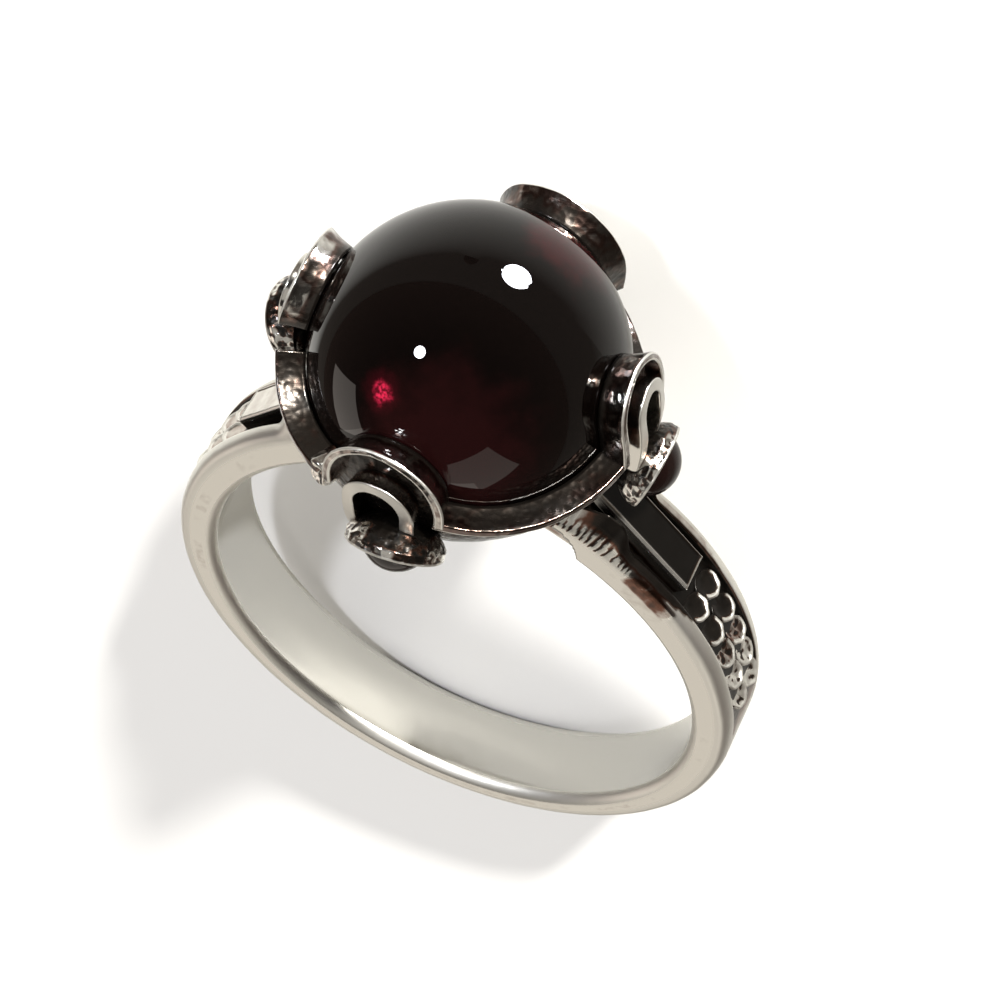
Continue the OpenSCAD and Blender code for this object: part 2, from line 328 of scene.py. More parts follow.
shank = {
    "steps": 1.0 / 2.3,  # degrees from one section to the next
    "fineSteps": 0.22,  # and near the head, where the rail is filed in ridges
    "fineReach": 62,
    # the hole's rounded edge: mm out from its wall, and mm from the middle of the band
    "innerEdge": [(0.0, 0.0), (0.0, 0.35), (0.0, 0.7), (0.0, 1.05), (0.0, 1.24), (0.006, 1.31), (0.03, 1.38),
                  (0.07, 1.45), (0.13, 1.52), (0.2, 1.585), (0.27, 1.628), (0.35, 1.648), (0.45, 1.65)],
    # the rail's rounded edge: mm in from the side face, and mm down from the top
    "outerEdge": [(0.0, 0.34), (0.02, 0.27), (0.06, 0.19), (0.12, 0.13), (0.2, 0.075), (0.3, 0.035),
                  (0.4, 0.012), (0.48, 0.0)],
    "rootStart": 36.5,  # degrees at which the shoulder leaves the circle
    "rootTop": 29.5,  # where it is highest
    "rootRise": 0.95,
    "rootEnd": 27.0,  # where it falls again, by this many mm a degree
    "rootFall": 0.12,
    "flatFrom": 21.0,  # degrees within which the top is a flat under the bowl, at this height
    "flatHeight": 9.6,
    "scoops": [(-3.05, 8.0), (3.05, 8.0)],  # u and w of the hollows in the sides under the head
    "scoopRadius": 1.45,
    "scoopDepth": 0.5,
    "waver": 0.012,  # mm that the hand-filed surface wanders
    "ridgePitch": 0.23,  # file marks across the right rail's edge
    "ridgeDepth": 0.014,
    "filedTo": 38.0,  # degrees
    "facet": (36.5, 50.0),  # degrees between which a facet below them is brown
    "shade": (22.0, 57.0),  # and the rail's top above them painted black as shade
    "blackTo": 94.0,  # where the groove's black has faded out
}


def bandRadii(turn):
    # how far the outer circle and the groove's floor are from the middle of the hole
    middle = math.sqrt(ring["outerRadius"] ** 2 - (ring["rise"] * math.sin(turn)) ** 2)
    shift = ring["rise"] * math.cos(turn)
    return middle + shift, middle - abs(shift)


def shankSection(angle):
    # half of the profile, as (radius, v), from the middle of the hole's wall to the middle of the groove
    turn = math.radians(angle)
    away = abs(angle)
    circle, floor = bandRadii(turn)
    share = (shank["rootStart"] - away) / (shank["rootStart"] - shank["rootTop"])
    rise = shank["rootRise"] * smooth(share) ** 1.3
    if away < shank["rootEnd"]:
        rise = max(0.0, rise - (shank["rootEnd"] - away) * shank["rootFall"])
    top = circle + rise
    if away < shank["flatFrom"]:
        top = min(top, shank["flatHeight"] / math.cos(turn))
        circle = min(circle, top)
        floor = min(floor, top)
    half = ring["width"] / 2
    rail = ring["railWidth"]
    groove = half - rail
    depth = top - floor
    inner = [(ring["boreRadius"] + out, v) for out, v in shank["innerEdge"]]
    face = [(r, half) for r in np.linspace(ring["boreRadius"] + 0.55, circle - 0.4, 7)]
    edge = [(circle - drop + (top - circle) * (inward / rail), half - inward)
            for inward, drop in shank["outerEdge"]]
    lip = [(top - 0.004, groove + 0.03), (top - 0.03, groove - 0.005)]
    wall = [(top - 0.03 - max(0.0, depth - 0.06) * k, groove - 0.02 - 0.05 * k)
            for k in (0.25, 0.5, 0.75, 1.0)]
    ground = [(floor, groove - 0.14), (floor, groove - 0.35), (floor, 0.4), (floor, 0.15)]
    return np.array(inner + face + edge + lip + wall + ground)


def buildShank():
    reach = shank["fineReach"]
    angles = np.concatenate([np.arange(-reach, reach, shank["fineSteps"]),
                             np.arange(reach, 360 - reach, shank["steps"])])
    angles = np.where(angles > 180, angles - 360, angles)
    halves = np.array([shankSection(a) for a in angles])
    # the whole loop: up the +v side and back down the -v side
    back = halves[:, ::-1] * np.array([1, -1])
    loop = np.concatenate([halves, back[:, :-1]], axis=1)
    r, v = loop[..., 0], loop[..., 1]
    turn = np.radians(angles)[:, None]
    away = np.abs(angles)[:, None]
    side = np.sign(angles)[:, None]
    u, w = r * np.sin(turn), r * np.cos(turn)
    scooped = np.zeros_like(r)
    for x, z in shank["scoops"]:
        scooped = np.maximum(scooped, smooth((shank["scoopRadius"] - np.hypot(u - x, w - z)) / 0.12))
    halfWidth = ring["width"] / 2
    limit = halfWidth - shank["scoopDepth"] * scooped
    v = np.clip(v, -limit, limit)
    points = np.stack([u, v, w], -1)
    lumps = bumps(points, 1.6) + 0.5 * bumps(points, 0.6, 7.0)
    outward = smooth((r - 9.3) / 0.5)  # the wall that touches the finger is even
    inRail = halfWidth - np.abs(v)  # mm in from the side face
    edgeAt = ring["rise"] * np.cos(turn) + ring["outerRadius"] - 0.35
    # mm from the rail's edge: below 0 down the side face, above it across the rail
    along = np.where(inRail < 0.02, np.minimum(r - edgeAt, 0), inRail)
    # the filed marks, a brown facet and a band of painted shade are on the right shoulder, strong on its near
    # side and weak on its far side
    marked = (side > 0) * (0.2 + 0.8 * (v < 0)) * (r > 9.5)
    wander = bumps(np.stack(np.broadcast_arrays(away * 0.16, side, v * 0.5), -1), 1.0, 4.0)
    torn = bumps(points, 0.22, 12.0)
    filed = within(along, -0.06 - 0.08 * wander, 0.25 + 0.08 * wander, 0.06, 0.06) * marked
    filed = filed * smooth((shank["filedTo"] - away) / 3)
    ridgeTurn = 2 * math.pi * ring["outerRadius"] / shank["ridgePitch"]
    ridges = np.sin(np.radians(away) * ridgeTurn + 5.5 * wander + 3.0 * v + 2.6 * torn)
    facet = within(along, -0.34, 0.2, 0.08, 0.05) * within(away, *shank["facet"], 2, 4) * marked
    shadeEdge = 0.17 + 0.36 * smooth((away - 44) / 12)
    # painted shade: the right rail's top near the head is painted black
    shade = smooth((along - shadeEdge) / 0.07) * within(away, *shank["shade"], 6, 4) * marked
    r = r + lumps * shank["waver"] * outward + filed * (ridges - 1) * shank["ridgeDepth"]
    u, w = r * np.sin(turn), r * np.cos(turn)
    points = np.stack([u, v, w], -1)
    inGroove = smooth((halfWidth - ring["railWidth"] + 0.02 - np.abs(v)) / 0.06) * (r > 9.6)
    fade = smooth((shank["blackTo"] - away) / 16)
    cut = scooped * (np.abs(v) > limit - 0.02) * (r > 9.05)  # the sides of the scoops alone, black partly as sulphide in the hollows and partly as painted shade
    marks = np.maximum(filed * -0.6 * ridges, np.maximum(facet * (0.4 + 0.12 * torn), shade * 0.88))
    black = inGroove * fade * 0.98 + cut * 0.8 + (1 - inGroove) * marks
    # the rails are satin, and the flat sides keep a breath of tarnish
    cloudy = bumps(np.stack([u, v * 0.6, w], -1), 2.4, 21.0) + 0.6 * bumps(points, 0.5, 22.0)
    clean = (1 - inGroove) * (1 - smooth(black / 0.12)) * (1 - scooped)
    tarnish = (0.05 + 0.06 * cloudy) * smooth((r - 9.35) / 0.1) * smooth((0.1 - inRail) / 0.08)
    satin = 0.65 * smooth((r - 9.6) / 0.1) * smooth((along + 0.3) / 0.25)
    black = black + clean * (tarnish - satin)
    black = black - 0.6 * (r < 9.32) * (r > 9.002)  # the hole's rounded edges are satin too
    underBowl = (away < shank["rootEnd"]) & (np.abs(v) < 1.15)
    black = np.where(underBowl, np.maximum(black, 0.75 * smooth((r - 9.7) / 0.3)), black)
    flat, quads, triangles = closedGrid(points, True)
    makePiece("shank", flat, quads, silver, black)


buildShank()
print("shank made")


# shoulders

panel = {
    "angle": 45.5,  # degrees from the head at which it is level with the band
    "far": 0.4,  # mm along the band from there to its free end
    "near": -4.4,  # and to its end under the bowl
    "halfWidth": 0.7,
    "top": 10.85,
    "deep": 0.9,
    "rim": 0.07,  # a bright border, inside which it steps down
    "step": 0.05,
    # the right one's black is partly sulphide and partly a painted dark reflection
    "blackRight": 0.97,
    "blackLeft": 0.12,  # the left one is nearly bare
}
scales = {
    "first": 54.0,  # degrees from the head
    "pitch": 6.3,
    "rows": 5,
    "radius": 0.52,
    "lean": 22,
    "lift": 0.25,
    "sideStep": 0.5,  # mm from the middle of the band to each row
    # a dished disc with a raised lip: radius and height
    "profile": [(0.0, -0.06), (0.12, -0.058), (0.24, -0.05), (0.33, -0.035), (0.4, -0.012), (0.44, 0.0),
                (0.475, 0.003), (0.505, -0.012), (0.52, -0.05), (0.525, -0.12), (0.525, -0.5)],
}


def turned(points, side, angle):
    # from a flat patch (x along the shank away from the head, y along the finger, z outward)
    a = math.radians(angle)
    x, y, z = points[..., 0], points[..., 1], points[..., 2]
    return np.stack([side * (x * math.cos(a) + z * math.sin(a)), y, -x * math.sin(a) + z * math.cos(a)], -1)


def buildPanel(name, side, blackness):
    # a flat plate with rounded edges and a worn step along its rim
    p = panel
    lengths = np.concatenate([[p["near"]], np.linspace(p["near"] + 0.1, p["far"] - 0.14, 40),
                              [p["far"] - 0.07, p["far"] - 0.02, p["far"]]])
    halfWidths = [0.3, 0.75, 0.82, 0.86, 0.9, 0.95, 0.985, 1]
    widths = np.array([-k for k in halfWidths[::-1]] + [0] + halfWidths) * p["halfWidth"]
    x, y = np.meshgrid(lengths, widths, indexing="ij")
    rim = np.minimum(p["halfWidth"] - np.abs(y), p["far"] - x)
    z = p["top"] - 0.09 * (1 - smooth(rim / p["rim"])) - p["step"] * smooth((rim - p["rim"]) / 0.06)
    top = np.stack([x, y, z], -1)
    top[..., 2] += 0.012 * bumps(top, 0.7, 3.0)
    low = top.copy()
    low[..., 2] = p["top"] - p["deep"]
    flat = np.concatenate([top.reshape(-1, 3), low.reshape(-1, 3)])
    rows, columns = x.shape
    half = rows * columns
    quads = [gridQuads(rows, columns, False, False), gridQuads(rows, columns, False, False, half)[:, ::-1]]
    acrossEnd = np.arange(columns)
    alongSide = np.arange(rows) * columns
    for line in (acrossEnd, half - 1 - acrossEnd, alongSide[::-1], alongSide + columns - 1):
        quads.append(np.stack([line[:-1], line[:-1] + half, line[1:] + half, line[1:]], -1))
    quads = np.vstack(quads)
    sunk = smooth((rim - p["rim"]) / 0.04)
    black = np.concatenate([(blackness * sunk - 0.5 * (1 - sunk)).ravel(), np.full(half, 0.9)])
    if side > 0:
        quads = quads[:, ::-1]
    makePiece(name, turned(flat, side, p["angle"]), quads, silver, black)


def buildScales(name, side):
    # fish scales in two rows: each a dished disc whose free edge, away from the head, stands up
    s = scales
    around = np.radians(np.arange(0, 360, 6))
    discRadius, discHeight = np.array(s["profile"]).T[..., None]
    lean = math.radians(s["lean"])
    parts, faces, blacks = [], [], []
    count = 0
    for i in range(s["rows"]):
        angle = s["first"] + i * s["pitch"]
        level = bandRadii(math.radians(angle))[1] - 0.08 - 0.02 * i
        rubbed = smooth((i - 0.8) / 2.4)  # the lower rows are rubbed bright
        for y in (-s["sideStep"], s["sideStep"]):
            # no two have the same outline or place
            jitter = noise.noise(Vector((angle, y * 9, side))) * 0.06
            outline = 1 + 0.06 * np.cos(around * 2 + angle) + 0.05 * np.cos(around * 3 + 7 * y + angle) \
                + 0.03 * np.cos(around * 7 + 3 * y)
            radius = discRadius * outline
            x, z = radius * np.cos(around), discHeight + s["lift"]
            patch = np.stack([x * math.cos(lean) - z * math.sin(lean) + jitter, radius * np.sin(around) + y,
                              x * math.sin(lean) + z * math.cos(lean) + level], -1)
            patch = turned(patch, side, angle)
            lumps = (0.03 + 0.05 * rubbed) * bumps(patch, 0.28, 5.0)
            patch = patch + lumps[..., None] * np.array([0.4, 0.5, 0.6])
            quads = gridQuads(len(discRadius), len(around), False, True, count)
            count += patch.shape[0] * patch.shape[1]
            # the raised lip is bright on its far side, the dish and the back of it stay black
            share = radius / s["radius"]
            lip = within(share, 0.68, 1.02, 0.08, 0.03)
            farSide = smooth((np.cos(around - 0.35) + 0.15) / 0.3)
            bright = np.maximum(lip * farSide, rubbed * lip * 0.8)
            dish = 0.9 - 1.35 * rubbed * smooth((bumps(patch, 0.19, 11.0) + 0.24) / 0.12)
            if side < 0:
                quads = quads[:, ::-1]
                dish = dish * 0.25  # the left ones are less black; the right ones' black is partly sulphide and partly a painted dark reflection
            black = dish * (1 - bright) - 0.6 * bright + 1.1 * smooth((share - 0.985) / 0.02)
            parts.append(patch.reshape(-1, 3))
            faces.append(quads)
            blacks.append(black.ravel())
    makePiece(name, np.vstack(parts), np.vstack(faces), silver, np.concatenate(blacks))


buildPanel("panel_right", 1, panel["blackRight"])
buildScales("scales_right", 1)
buildPanel("panel_left", -1, panel["blackLeft"])
buildScales("scales_left", -1)
print("shoulders made")


# head, with distances from the middle of the large garnet and heights over it

head = {
    "inner": stone["radius"] + 0.04,
    "strip": 5.95,
    "thick": 0.32,
    "thinTop": 0.09,  # how much thinner an arch is at its top
    "bowl": 5.4,
    "bowlFoot": -4.5,
    "bowlEdge": -0.76,
    "plate": 5.44,
    "shoe": 6.07,
    "shoeInner": 5.3,
    "shoeThick": 0.46,
    "dipSag": 0.45,
}
# "at", "half" and "up" are degrees: how far round from the front, half the arch's width, and how far its
# middle is over the garnet's. Heights and lengths are in mm. "face" is how black the arch's outside is,
# and "rubbed" how much of that is worn off on its left half.
lobes = [
    {"name": "front", "at": -3, "half": 20.0, "up": 0.8, "foot": -0.33, "face": 0.3, "rubbed": 0.9,
     "shoeHalf": 11.5, "shoeUp": -1.5, "shoeLeg": 1.85, "plateFoot": -2.3,
     "cupAt": 2, "cupUp": -1.93, "cupOut": 5.88, "cupLean": 48, "cupRadius": 1.545, "cupRound": 0.75},
    {"name": "right", "at": 90, "half": 15.6, "up": 11.5, "foot": -0.2, "face": 0.4, "rubbed": 0.0,
     "shoeHalf": 8.97, "shoeUp": 10.5, "shoeLeg": 2.2, "plateFoot": -1.7,
     "cupAt": 91, "cupUp": -1.85, "cupOut": 6.25, "cupLean": 18, "cupRadius": 1.395, "cupRound": 0.26},
    {"name": "back", "at": 172, "half": 23.0, "up": 7.0, "foot": -0.33, "face": 0.6, "rubbed": 0.0,
     "shoeHalf": 13.22, "shoeUp": 3.5, "shoeLeg": 1.2, "plateFoot": -1.7,
     "cupAt": 180, "cupUp": -2.0, "cupOut": 5.85, "cupLean": 35, "cupRadius": 1.5, "cupRound": 0.26},
    {"name": "left", "at": 270, "half": 18.0, "up": 12.0, "foot": 1.2, "face": 0.35, "rubbed": 0.0,
     "shoeHalf": 10.35, "shoeUp": 8, "shoeLeg": 0.6, "plateFoot": -1.7,
     "cupAt": 270, "cupUp": -1.0, "cupOut": 5.85, "cupLean": 35, "cupRadius": 1.5, "cupRound": 0.26},
]
cup = {"seat": 1.08, "wall": 0.3, "back": 1.3}  # mm: the stone's seat, the straight wall, the whole depth


def wayTo(azimuth, up):
    # azimuth 0 is the front (-Y), 90 is +X
    a, e = math.radians(azimuth), math.radians(up)
    return np.array([math.sin(a) * math.cos(e), -math.cos(a) * math.cos(e), math.sin(e)])


def sideAxes(azimuth, up=0.0):
    # sideways, upward and outward at a place round the stone
    a = math.radians(azimuth)
    sideways = np.array([math.cos(a), math.sin(a), 0.0])
    outward = wayTo(azimuth, up)
    return np.array([sideways, np.cross(outward, sideways), outward])


def toUnit(vectors):
    return vectors / np.linalg.norm(vectors, axis=-1)[..., None]


def evenly(directions, step):
    # the same path with points an even distance apart
    directions = toUnit(directions)
    lengths = np.concatenate([[0], np.cumsum(np.linalg.norm(np.diff(directions, axis=0), axis=1))])
    places = np.linspace(0, lengths[-1], max(4, int(lengths[-1] / step)))
    return toUnit(np.stack([np.interp(places, lengths, directions[:, k]) for k in range(3)], -1))


def archPath(azimuth, up, half, leg, radius):
    # half a circle with straight legs, as directions from the middle of the garnet
    sideways, upward, outward = sideAxes(azimuth, up)
    middle = math.cos(math.radians(half)) * outward
    width = math.sin(math.radians(half))
    reach = max(leg, 0.02) / radius
    reach = reach / math.sqrt(1 - reach * reach)
    arc = [middle + width * (math.cos(t) * sideways + math.sin(t) * upward)
           for t in np.linspace(math.pi, 0, 120)]
    left, right = ([middle + side * width * sideways - k * upward for k in np.linspace(0, reach, 30)[1:]]
                   for side in (-1, 1))
    return np.array(left[::-1] + arc + right)


def archLeg(lobe):
    return head["strip"] * math.sin(math.radians(lobe["up"])) - lobe["foot"]


def ribbon(name, directions, inner, outer, thick, material, seed, blackSide,
           roundEdge=0.07, hollow=0.03, line=(-0.6, -0.6, -0.6), face=0.0, rubbed=0.0, uneven=0.7):
    # a band whose section stands on the path: inner to outer away from the garnet, thick across
    path = evenly(directions, 0.045 / outer)
    tangent = toUnit(np.gradient(path, axis=0))
    across = toUnit(np.cross(path, tangent))
    share = np.linspace(0, 1, len(path))
    thick = np.interp(share, np.linspace(0, 1, np.size(thick)), np.atleast_1d(thick))
    # half of the section: how far out, how much the rounded edge draws in, how hollow the side is
    depth = outer - inner
    half = [(inner + (depth - roundEdge) * k, 0.0, hollow * math.sin(math.pi * k))
            for k in np.linspace(0, 1, 9)]
    half += [(outer - roundEdge + roundEdge * math.sin(b), roundEdge * (1 - math.cos(b)), 0.0)
             for b in np.radians(np.arange(15, 91, 15))]
    # and the whole: up one side, over the outer face and down the other
    section = [(-1.0, *h) for h in half] + [(k, outer, 0.0, 0.0) for k in (-0.45, 0.0, 0.45)] \
        + [(1.0, *h) for h in half[::-1]]
    sign, radial, pull, dent = np.array(section).T
    lateral = sign * np.maximum(thick[:, None] / 2 - pull - dent, 0.02)
    points = path[:, None] * radial[:, None] + across[:, None] * lateral[..., None]
    waver = bumps(points, 0.9, seed) * 0.02 + bumps(points, 0.35, seed + 3) * 0.008
    far = smooth((radial - inner) / depth)
    points = points + path[:, None] * (waver * far)[..., None]
    points = points + across[:, None] * (waver * 0.5 * sign)[..., None]
    low = 1 - smooth((radial - inner) / depth * 1.6)
    edge = smooth((radial - (outer - roundEdge * 0.75)) / (roundEdge * 0.3))
    # the narrow outer face is worn: its inner or lower corner, its middle, and the other corner
    worn = np.where(sign < -0.6, line[0], np.where(sign > 0.6, line[2], line[1]))
    # on the side that looks away from the horseshoe, sulphide stays in patches
    outside = sign > 0
    blotches = uneven * (bumps(points, 0.8, seed + 7) + 0.4 * bumps(points, 0.25, seed + 9)) * (face > 0)
    patches = face + outside * (blotches - rubbed * smooth((0.62 - share[:, None]) / 0.3))
    black = np.maximum(blackSide * low, patches) * (1 - edge) + worn * edge
    flat, quads, triangles = closedGrid(points, False)
    black = np.concatenate([black.ravel(), [0.3, 0.3]])  # with the middles of both ends
    makePiece(name, onHead(flat), quads, material, black, triangles)


def buildArch(lobe):
    half = lobe["half"] - math.degrees(head["thick"] / 2 / head["strip"])
    path = archPath(lobe["at"], lobe["up"], half, archLeg(lobe), head["strip"])
    thick = head["thick"] - head["thinTop"] * np.sin(np.linspace(0, np.pi, 60)) ** 2
    ribbon("arch_" + lobe["name"], path, head["inner"], head["strip"], thick, hammeredSilver,
           lobe["at"] * 0.1, 0.75, line=(-0.75, 0.24, -0.7), face=lobe["face"], rubbed=lobe["rubbed"])


def buildShoe(lobe):
    half = lobe["shoeHalf"] - math.degrees(head["shoeThick"] / 2 / head["shoe"])
    path = archPath(lobe["at"], lobe["shoeUp"], half, lobe["shoeLeg"], head["shoe"])
    # the ends turn in
    sideways, upward, outward = sideAxes(lobe["at"], lobe["shoeUp"])
    left, right = ([start - side * sideways * 0.055 * math.sin(k) - upward * 0.035 * math.sin(k / 1.6)
                    for k in np.linspace(0.2, 1.6, 10)] for side, start in ((-1, path[0]), (1, path[-1])))
    path = np.array(left[::-1] + list(path) + right)
    thick = head["shoeThick"] - 0.08 * np.sin(np.linspace(0, np.pi, 60)) ** 4
    ribbon("horseshoe_" + lobe["name"], path, head["shoeInner"], head["shoe"], thick, silver,
           lobe["at"] * 0.1 + 5, 0.9, roundEdge=0.05, hollow=0.0)


def dipPath(dip):
    # a shallow hanging curve between two feet of arches, as places round the garnet
    sag = head["dipSag"]
    startLevel, endLevel = dip["levels"]
    half = dip["reach"] * math.sin(math.radians((dip["to"] - dip["from"]) / 2))
    bendRadius = (half * half + sag * sag) / (2 * sag)
    line = bendRadius - head["thick"] / 2
    slope = math.atan2(endLevel - startLevel, 2 * half)
    reach = math.asin(min(1.0, (half + 0.1) / bendRadius))
    t = np.linspace(-reach, reach, 80)
    x = line * np.sin(t)
    y = bendRadius - sag - line * np.cos(t)
    aside = x * math.cos(slope) - y * math.sin(slope)
    level = x * math.sin(slope) + y * math.cos(slope) + (startLevel + endLevel) / 2
    onBall = 5.5  # mm from the garnet's middle
    out = np.sqrt(onBall ** 2 - aside ** 2 - level ** 2)
    return np.stack([aside, level, out], -1) @ sideAxes((dip["from"] + dip["to"]) / 2)


def buildBowl():
    # the cup of metal under the stone, its edge rolled in to the garnet
    radius, low = head["bowl"], head["bowlFoot"]
    start = math.asin(low / radius)
    end = math.asin(head["bowlEdge"] / radius) - 0.02
    profile = [(radius * math.cos(start) * k, low) for k in (0.0, 0.3, 0.6, 0.85, 0.97)]
    profile += [(radius * math.cos(e), radius * math.sin(e)) for e in np.linspace(start, end, 46)]
    profile += [(5.36, -0.75), (5.31, -0.72), (5.2, -0.71), (5.1, -0.72), (5.03, -0.8), (4.99, -1.2)]
    r, z, points = spun(profile, 1.5, -90)
    lumps = bumps(points, 1.1, 2.0) + 0.6 * bumps(points, 0.4, 4.0)
    points = points * (1 + 0.004 * lumps * smooth((r - 3.2) / 0.6))[..., None]
    quads = gridQuads(*points.shape[:2], False, True)[:, ::-1]
    black = 0.62 + 0.35 * bumps(points, 1.6, 9.0)
    makePiece("bowl", onHead(points), quads, punchedSilver, black)


def buildPlate(lobe):
    # the blackened ground inside an arch, hammered and set back from its edge
    axes = sideAxes(lobe["at"])
    path = archPath(lobe["at"], lobe["up"], lobe["half"] - 1.2, max(archLeg(lobe), 0.1), head["strip"])
    high = evenly(path, 0.012) @ axes.T
    low = high * np.array([0.95, 0, 1]) + np.array([0, lobe["plateFoot"] / head["plate"], 0])
    share = np.linspace(0, 1, 24)[:, None, None]
    points = toUnit((high * (1 - share) + low * share) @ axes) * head["plate"]
    lumps = bumps(points, 0.45, 1.0) + 0.5 * bumps(points, 0.2, 6.0)
    points = points * (1 + 0.0035 * lumps)[..., None]
    quads = gridQuads(*points.shape[:2], False, False)
    black = 0.72 + 0.3 * bumps(points, 0.3, 2.0)
    makePiece("plate_" + lobe["name"], onHead(points), quads, punchedSilver, black)


def buildCup(lobe):
    # a punched cup with a rubbed-over rim that holds the small garnet
    sideways, upward, outward = sideAxes(lobe["cupAt"])
    lean = math.radians(lobe["cupLean"])
    axis = outward * math.cos(lean) - upward * math.sin(lean)
    middle = onHead(upward * lobe["cupUp"] + outward * lobe["cupOut"])
    radius, seat, bend = lobe["cupRadius"], cup["seat"], lobe["cupRound"]
    ball = math.hypot(radius, bend + cup["wall"])
    deepest = max(-cup["back"], bend - ball + 0.002)
    profile = [(seat - 0.02, -0.52), (seat - 0.01, -0.3), (seat, -0.12), (seat + 0.01, -0.03),
               (seat + 0.04, 0.0), (seat + 0.09, 0.0), (seat + 0.14, -0.03), (seat + 0.2, -0.04),
               (radius - 0.12, -0.03), (radius - 0.07, 0.0), (radius - 0.03, 0.0), (radius - 0.005, -0.02),
               (radius, -0.06), (radius, -0.1), (radius - 0.01, -0.14), (radius - 0.01, -0.2),
               (radius, -0.26)]
    profile += [(math.sqrt(ball ** 2 - (z - bend) ** 2), z) for z in np.linspace(-cup["wall"], deepest, 30)]
    profile += [(profile[-1][0] * 0.5, deepest - 0.001)]
    r, z, local = spun(profile, 2)
    # punch marks only cut in, so that the rim keeps its size where it touches the ground
    marks = np.clip(bumps(local, 0.16, lobe["at"]) * 1.7 + 0.3 * bumps(local, 0.5, 2.0), 0, 1)
    wall = smooth((-0.05 - z) / 0.05)
    rim = smooth((r - seat) / 0.03) * (1 - wall)
    shrink = 1 - 0.013 * marks * wall - 0.004 * marks * rim
    local = local * np.stack([shrink, shrink, np.ones_like(shrink)], -1)
    points = middle + local @ np.array([sideways, np.cross(axis, sideways), axis])
    quads = gridQuads(*points.shape[:2], False, True)[:, ::-1]
    x = local[..., 0]
    underShoe = smooth((0.62 - np.abs(x + 0.1)) / 0.25) * smooth((-0.28 - z) / 0.12)
    brown = 0.48 * within(x, 0.25, 1.25, 0.3, 0.2)
    pits = smooth((marks - 0.2) / 0.2)
    black = wall * (0.05 + 0.75 * pits + brown + 0.7 * underShoe) - 0.7 * rim
    black = black + smooth((seat + 0.015 - r) / 0.03) * 0.9 + 0.8 * smooth((-0.95 - z) / 0.2)
    makePiece("cup_" + lobe["name"], points, quads, punchedSilver, black)


def buildCurl():
    # the strip's end rolled over beside the front lobe
    axes = sideAxes(-26)
    profile = [(0.0, 5.74), (0.12, 5.74), (0.22, 5.78), (0.3, 5.84), (0.38, 5.87), (0.45, 5.85), (0.49, 5.78),
               (0.5, 5.7), (0.5, 5.5), (0.5, 5.3), (0.5, 5.1)]
    r, z, local = spun(profile, 7.5)
    local = local * (1 + 0.02 * bumps(local, 0.4, 8.0))[..., None]
    points = onHead(axes[1] * -0.5) + local @ axes
    quads = gridQuads(*points.shape[:2], False, True)
    black = 0.35 * smooth((0.2 - r) / 0.1) + 0.3 * smooth((5.6 - z) / 0.2)
    makePiece("curl", points, quads, punchedSilver, np.broadcast_to(black, points.shape[:2]))


def foot(lobe, side):
    return lobe["at"] + side * lobe["half"]


front, right, back, left = lobes
# degrees round from the front, heights at both ends, how far out each reaches, and how black it is
dips = {
    "dip_front_right": {"from": foot(front, 1), "to": foot(right, -1), "levels": (-0.41, -0.3),
                        "reach": 5.93, "face": 0.62},
    "dip_back_right": {"from": foot(right, 1), "to": foot(back, -1), "levels": (-0.3, -0.41),
                       "reach": 5.48, "face": 0.62},
    "dip_back_left": {"from": foot(back, 1), "to": foot(left, -1), "levels": (-0.41, -0.41),
                      "reach": 5.48, "face": 0.62},
    "dip_front_left": {"from": -63, "to": -27, "levels": (0.75, -0.5), "reach": 5.93, "face": 0.74},
}

buildBowl()
for lobe in lobes:
    buildPlate(lobe)
    buildArch(lobe)
    buildShoe(lobe)
    buildCup(lobe)
for name, dip in dips.items():
    ribbon(name, dipPath(dip), head["inner"], dip["reach"], head["thick"], hammeredSilver,
           dip["from"] * 0.1, 0.7, line=(-0.6, 0.4, 0.4), face=dip["face"], uneven=0.4)
buildCurl()
print("head made")

for name in ("large_garnet", "front_garnet", "right_garnet", "back_garnet", "left_garnet"):
    node = frame["nodes"][name]
    node.data.materials.clear()
    node.data.materials.append(garnet if name == "large_garnet" else smallGarnet)
print("garnets dressed")


# ground, light and camera

ground = {
    "size": 3.0,  # m
    "colour": "#f4f3f1",
    "mirroredNear": "#dbdad6",
    "mirroredFar": "#5c5752",
    "brightAt": (12.0, 4.0, 0.0),  # mm
    "nearMm": 17.0,
    "farMm": 34.0,
}


def makePaper(name, look):
    # thick white paper, pressed smooth but unglazed: even, with no shine. Polished metal and stone mirror
    # instead a painted darker tone with a painted pool of light that fades away from one place.
    material, tree = newMaterial(name)
    place = add(tree, "TexCoord").outputs["Object"]
    away = add(tree, "VectorMath", {"operation": "DISTANCE", 1: [v * mm for v in look["brightAt"]]}, i0=place)
    faded = add(tree, "MapRange", {"From Min": look["nearMm"] * mm, "From Max": look["farMm"] * mm},
                Value=away.outputs["Value"])
    tone = add(tree, "Mix", {"data_type": "RGBA", 6: colour(look["mirroredNear"]),
                             7: colour(look["mirroredFar"])}, Factor=faded)
    sheet = add(tree, "BsdfDiffuse", {"Color": colour(look["colour"])})
    mirrored = add(tree, "BsdfDiffuse", Color=tone.outputs[2])
    ray = add(tree, "LightPath").outputs["Is Glossy Ray"]
    add(tree, "OutputMaterial", Surface=add(tree, "MixShader", i0=ray, i1=sheet, i2=mirrored))
    return material


bpy.ops.mesh.primitive_plane_add(size=ground["size"], location=(0, 0, 0))
floor = bpy.context.object
floor.name = "floor"
floor.data.materials.append(makePaper("paper_matt_white", ground))

room = {"walls": "#fffdfa", "strength": 0.42, "mirroredLow": "#594c45", "mirroredHigh": "#302d2b"}


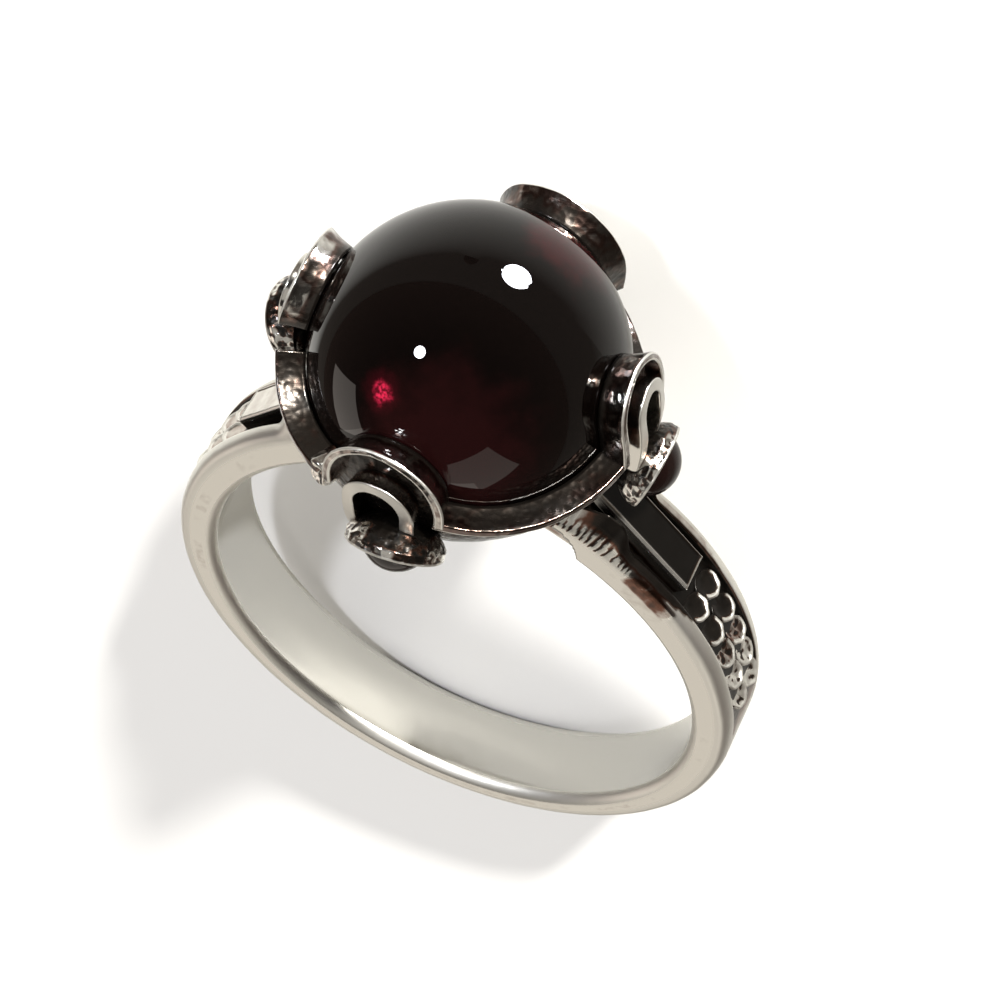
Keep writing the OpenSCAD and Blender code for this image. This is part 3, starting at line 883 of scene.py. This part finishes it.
def makeRoom(look):
    # pale walls fill the shadows, while polished surfaces mirror a dim brown room, darkest overhead
    world = bpy.data.worlds.new("room")
    bpy.context.scene.world = world
    world.use_nodes = True
    tree = world.node_tree
    tree.nodes.clear()
    fill = add(tree, "Background", {"Color": colour(look["walls"]), "Strength": look["strength"]})
    way = add(tree, "SeparateXYZ", i0=add(tree, "TexCoord").outputs["Generated"])
    height = add(tree, "MapRange", {"From Max": 0.7}, Value=way.outputs["Z"])
    tone = add(tree, "Mix", {"data_type": "RGBA", 6: colour(look["mirroredLow"]),
                             7: colour(look["mirroredHigh"])}, Factor=height)
    dim = add(tree, "Background", Color=tone.outputs[2])
    ray = add(tree, "LightPath").outputs["Is Glossy Ray"]
    add(tree, "OutputWorld", Surface=add(tree, "MixShader", i0=ray, i1=fill, i2=dim))


makeRoom(room)

# The key is a lamp so far off that it lights the whole sheet alike. The others stand so many metres from
# the garnet and look at it, but for spot_low, which is just over the sheet in front of it.
key = {"azimuth": -22, "up": 17, "strength": 7.5, "across": 5.5, "tint": "#fffdf8"}
lamps = {
    "spot_high": {"azimuth": 31.8, "up": 47.6, "away": 0.6, "size": 0.085, "watts": 1.5, "tint": "#f6f8ff"},
    "spot_low": {"at": (-0.0036, -0.0232, 0.0032), "to": (-0.0014, -0.014, 0.0074),  # m, on the lying ring
                 "size": 0.0041, "watts": 0.003, "tint": "#f6f8ff"},
    "window": {"azimuth": 120, "up": 22, "away": 0.6, "size": 0.3, "tall": 0.24,
               "watts": 0.24, "tint": "#fff4ea"},
    "card_behind": {"azimuth": 168, "up": 18, "away": 0.7, "size": 0.9, "tall": 0.56,
                    "watts": 1.0, "tint": "#fff9ee"},
    "card_right": {"azimuth": -148, "up": 40, "away": 0.7, "size": 0.5, "tall": 0.35,
                   "watts": 0.33, "tint": "#fff9ee"},
    "card_above": {"azimuth": 0, "up": 88, "away": 0.7, "size": 0.6, "tall": 0.6,
                   "watts": 0.4, "tint": "#fffaf2"},
}
stoneMiddle = laid(onHead([0, 0, 0]))


def addLight(name, kind, look, strength, backward):
    # shines the opposite way to the one given
    light = bpy.data.lights.new(name, kind)
    light.color = colour(look["tint"])[:3]
    light.energy = strength
    item = bpy.data.objects.new(name, light)
    item.rotation_euler = Vector(backward).to_track_quat("Z", "Y").to_euler()
    bpy.context.scene.collection.objects.link(item)
    return item


sun = addLight("key", "SUN", key, key["strength"], wayTo(key["azimuth"], key["up"]))
sun.data.angle = math.radians(key["across"])
placed = {}
for name, look in lamps.items():
    if "at" in look:
        at, to = np.array(look["at"]), np.array(look["to"])
    else:
        at, to = stoneMiddle + wayTo(look["azimuth"], look["up"]) * look["away"], stoneMiddle
    item = addLight(name, "AREA", look, look["watts"], at - to)
    item.location = at
    item.data.shape = "RECTANGLE" if "tall" in look else "DISK"
    item.data.size = look["size"]
    if "tall" in look:
        item.data.size_y = look["tall"]
    placed[name] = item
low = placed["spot_low"]
low.visible_camera = low.visible_diffuse = False

# the large garnet shows the small lamps and the side cards, but not the key or the card above
spared = bpy.data.collections.new("not_lit_by_key")
spared.objects.link(frame["nodes"]["large_garnet"])
sun.light_linking.receiver_collection = spared
placed["card_above"].light_linking.receiver_collection = spared
spared.collection_objects[0].light_linking.link_state = "EXCLUDE"
print("lights set")

# where the photograph was taken from, and what is right and down in it, on the upright ring
view = {
    "at": (18.59, -43.13, 73.75),  # mm
    "right": (0.9143, 0.4043, 0.0227),
    "down": (0.3434, -0.7443, -0.5728),
    "lens": 90,
    "filmWidth": 36,
}
cameraData = bpy.data.cameras.new("camera")
cameraData.lens = view["lens"]
cameraData.sensor_width = view["filmWidth"]
cameraData.clip_start = 0.005
camera = bpy.data.objects.new("camera", cameraData)
across = np.array(view["right"]) @ layDown
down = np.array(view["down"]) @ layDown
columns = np.array([across, -down, -np.cross(across, down), laid(view["at"])])
camera.matrix_world = Matrix([*columns.T.tolist(), [0, 0, 0, 1]])
bpy.context.scene.collection.objects.link(camera)
bpy.context.scene.camera = camera
bpy.context.scene.view_settings.view_transform = "Standard"
